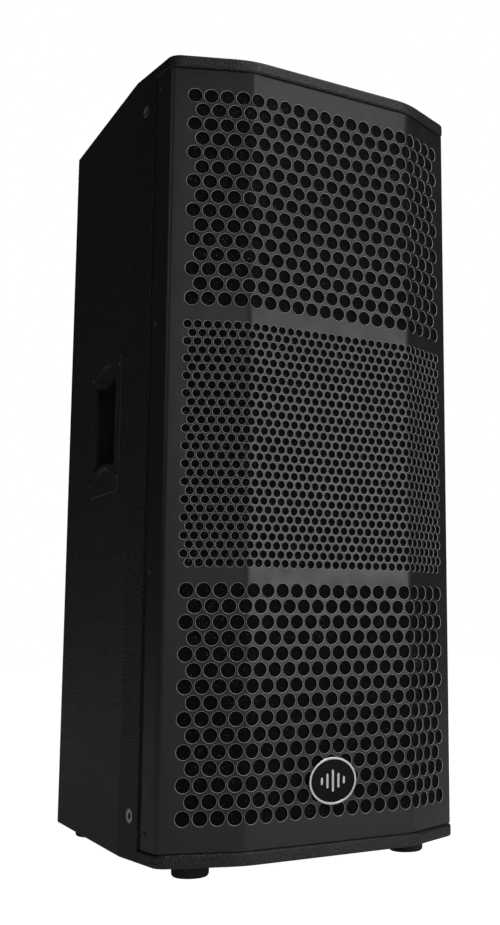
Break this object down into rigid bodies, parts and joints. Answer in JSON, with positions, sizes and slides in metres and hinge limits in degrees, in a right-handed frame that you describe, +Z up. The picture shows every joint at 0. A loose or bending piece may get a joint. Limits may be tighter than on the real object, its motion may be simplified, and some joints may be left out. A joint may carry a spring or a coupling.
{
  "type": "pa speaker cabinet",
  "caption": "Tall two-way PA loudspeaker cabinet with a folded perforated grille, twin 15 inch woofers, a horn, side cup handles and rubber feet.",
  "frame": {"origin": "on the floor, under the middle of the bounding box", "axes": "+Z up, the grille faces -Y, +X to the right seen from the front"},
  "size_m": [0.4912, 0.52, 1.14],
  "materials": {
    "cabinet_paint": "plywood under tough textured black paint",
    "bare_ply": "birch plywood, unpainted inside",
    "grille_steel": "matt black powder coat",
    "foam_black": "open-cell foam",
    "wadding": "polyester wadding",
    "screw_black": "blackened steel",
    "zinc_steel": "zinc plated",
    "badge_black": "gloss black",
    "badge_chrome": "polished",
    "moulded_black": "fine moulded grain",
    "rubber_black": "matt",
    "plate_paint": "satin black",
    "socket_plastic": "glass-filled nylon",
    "slider_plastic": "nylon",
    "board_green": "circuit board",
    "copper_wire": "enamelled copper",
    "capacitor_film": "wrapped film",
    "resistor_ceramic": "white ceramic",
    "lead_sheath": "soft plastic sheath",
    "basket_steel": "black enamel",
    "cone_paper": "coated paper",
    "surround_cloth": "doped cloth",
    "spider_cloth": "impregnated cloth",
    "coil_former": "wound former",
    "ferrite": "ferrite",
    "magnet_steel": "zinc plated",
    "gasket_foam": "closed-cell",
    "horn_plastic": "moulded",
    "diaphragm_film": "thin titanium-like dome",
    "port_plastic": "moulded tube"
  },
  "bodies": {
    "cabinet": {"top_panel": "cabinet_paint", "bottom_panel": "cabinet_paint", "left_front_strip": "cabinet_paint", "right_front_strip": "cabinet_paint", "left_side_panel": "cabinet_paint", "right_side_panel": "cabinet_paint", "rear_panel": "cabinet_paint", "baffle_board": "cabinet_paint", "brace_shelves": "bare_ply", "acoustic_lining": "wadding", "grille": "grille_steel", "grille_foam": "foam_black", "grille_screws": "screw_black", "badge_base": "badge_black", "badge_trim": "badge_chrome", "left_handle": "moulded_black", "right_handle": "moulded_black", "handle_screws": "screw_black", "rigging_inserts": "zinc_steel", "rubber_feet": "rubber_black", "foot_screws": "zinc_steel", "input_plate": "plate_paint", "input_gasket": "gasket_foam", "input_plate_screws": "screw_black", "speaker_sockets": "socket_plastic", "socket_screws": "zinc_steel", "selector_housing": "socket_plastic", "crossover_board": "board_green", "board_standoffs": "zinc_steel", "crossover_coils": "copper_wire", "crossover_capacitors": "capacitor_film", "crossover_resistors": "resistor_ceramic", "internal_leads": "lead_sheath", "woofer_front_plates": "magnet_steel", "woofer_magnets": "ferrite", "woofer_yokes": "magnet_steel", "woofer_gaskets": "gasket_foam", "woofer_screws": "screw_black", "horn": "horn_plastic", "horn_screws": "screw_black", "hf_plates": "magnet_steel", "hf_magnet": "ferrite", "hf_pole_piece": "magnet_steel", "hf_rear_cover": "socket_plastic", "hf_bolts": "zinc_steel", "port_tubes": "port_plastic", "upper_basket": "basket_steel", "upper_surround": "surround_cloth", "upper_spider": "spider_cloth", "lower_basket": "basket_steel", "lower_surround": "surround_cloth", "lower_spider": "spider_cloth"},
    "upper_woofer_cone": {"upper_cone": "cone_paper", "upper_dust_cap": "cone_paper", "upper_voice_coil": "coil_former"},
    "lower_woofer_cone": {"lower_cone": "cone_paper", "lower_dust_cap": "cone_paper", "lower_voice_coil": "coil_former"},
    "hf_dome": {"hf_diaphragm": "diaphragm_film"},
    "selector": {"selector_slider": "slider_plastic"}
  },
  "joints": [
    {"name": "upper_woofer_excursion", "type": "slide", "parent": "cabinet", "child": "upper_woofer_cone", "axis": [0, -1, 0], "range_m": [-0.008, 0.008], "stiffness_N_per_m": 6000, "deforming": ["upper_surround", "upper_spider"]},
    {"name": "lower_woofer_excursion", "type": "slide", "parent": "cabinet", "child": "lower_woofer_cone", "axis": [0, -1, 0], "range_m": [-0.008, 0.008], "stiffness_N_per_m": 6000, "deforming": ["lower_surround", "lower_spider"]},
    {"name": "hf_diaphragm_excursion", "type": "slide", "parent": "cabinet", "child": "hf_dome", "axis": [0, -1, 0], "range_m": [-0.0003, 0.0003], "stiffness_N_per_m": 90000},
    {"name": "selector_travel", "type": "slide", "parent": "cabinet", "child": "selector", "axis": [1, 0, 0], "range_m": [0, 0.005]}
  ]
}
